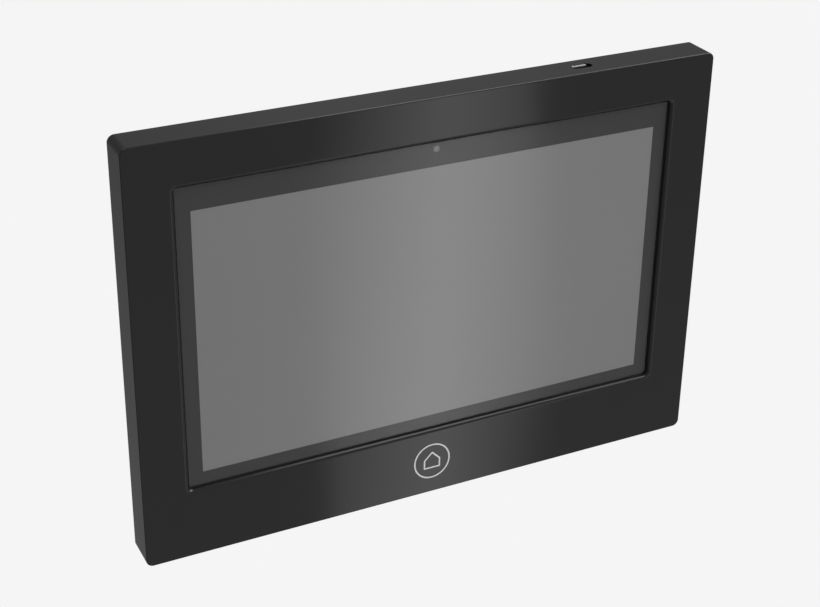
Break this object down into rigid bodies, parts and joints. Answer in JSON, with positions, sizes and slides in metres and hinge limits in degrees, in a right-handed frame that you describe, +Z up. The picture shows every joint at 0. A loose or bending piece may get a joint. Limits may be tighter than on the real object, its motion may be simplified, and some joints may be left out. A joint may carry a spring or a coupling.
{
  "type": "smart display",
  "caption": "Thin wall-hung smart display: a black frame around a recessed wide touch screen with a camera, a slide switch on top, hung on a screwed wall plate.",
  "frame": {"origin": "centre of the wall plate's screw pattern, on the wall plane", "axes": "+X to the viewer's right, +Y into the wall, +Z up; the screen faces -Y"},
  "size_m": [0.28, 0.0167, 0.199],
  "materials": {
    "frame_plastic": "semi-gloss black",
    "mark_white": "printed white",
    "black_foam": "matte foam",
    "cover_glass": "polished",
    "border_ink": "printed ink behind glass",
    "optical_film": "clear film",
    "lcd_cell": "unlit panel",
    "white_sheet": "matte",
    "clear_acrylic": "clear",
    "led_board": "white solder mask",
    "tray_steel": "pressed sheet",
    "zinc_steel": "zinc-plated sheet",
    "pan_steel": "pressed sheet",
    "screw_steel": "nickel-plated",
    "brass_insert": "turned",
    "circuit_board": "green solder mask",
    "chip_black": "moulded epoxy",
    "tin_shield": "tinned",
    "ferrite": "ferrite and ceramic",
    "connector_plastic": "moulded",
    "terminal_green": "moulded",
    "heat_pad": "soft silicone",
    "heat_spreader": "plain sheet",
    "flex_amber": "polyimide",
    "wire_black": "soft sleeve",
    "coax_grey": "soft sleeve",
    "lens_glass": "coated lens",
    "speaker_plastic": "moulded",
    "knob_satin": "satin",
    "cover_plastic": "fine texture"
  },
  "bodies": {
    "wall_plate": {"wall_plate": "zinc_steel", "plate_pads": "black_foam"},
    "display": {"front_frame": "frame_plastic", "frame_posts": "cover_plastic", "front_mark": "mark_white", "glass_gasket": "black_foam", "cover_glass": "cover_glass", "border_print": "border_ink", "bond_film": "optical_film", "touch_sensor": "optical_film", "lcd_gasket": "black_foam", "lcd_cell": "lcd_cell", "diffuser_sheet": "white_sheet", "light_guide": "clear_acrylic", "reflector_sheet": "white_sheet", "led_strip": "led_board", "backlight_tray": "tray_steel", "chassis": "zinc_steel", "chassis_screws": "screw_steel", "board_standoffs": "brass_insert", "mainboard": "circuit_board", "board_screws": "screw_steel", "processor": "chip_black", "memory_chips": "chip_black", "radio_shield": "tin_shield", "power_parts": "ferrite", "board_connectors": "connector_plastic", "power_socket": "terminal_green", "heat_pad": "heat_pad", "heat_spreader": "heat_spreader", "display_flex": "flex_amber", "touch_flex": "flex_amber", "camera_flex": "flex_amber", "switch_flex": "flex_amber", "speaker_leads": "wire_black", "antenna_leads": "coax_grey", "camera_board": "circuit_board", "camera_barrel": "chip_black", "camera_lens": "lens_glass", "speaker_left": "speaker_plastic", "speaker_right": "speaker_plastic", "speaker_gasket_left": "black_foam", "speaker_gasket_right": "black_foam", "mic_board": "circuit_board", "microphone": "tin_shield", "antenna_left": "flex_amber", "antenna_right": "flex_amber", "switch_board": "circuit_board", "switch_case": "tin_shield", "switch_screws": "screw_steel", "rear_cover": "cover_plastic", "hang_pan": "pan_steel", "cover_screws": "screw_steel"},
    "switch_knob": {"switch_knob": "knob_satin"}
  },
  "joints": [
    {"name": "display_lift", "type": "slide", "parent": "wall_plate", "child": "display", "axis": [0, 0, 1], "range_m": [0, 0.005]},
    {"name": "switch_slide", "type": "slide", "parent": "display", "child": "switch_knob", "axis": [1, 0, 0], "range_m": [0, 0.0015]}
  ]
}
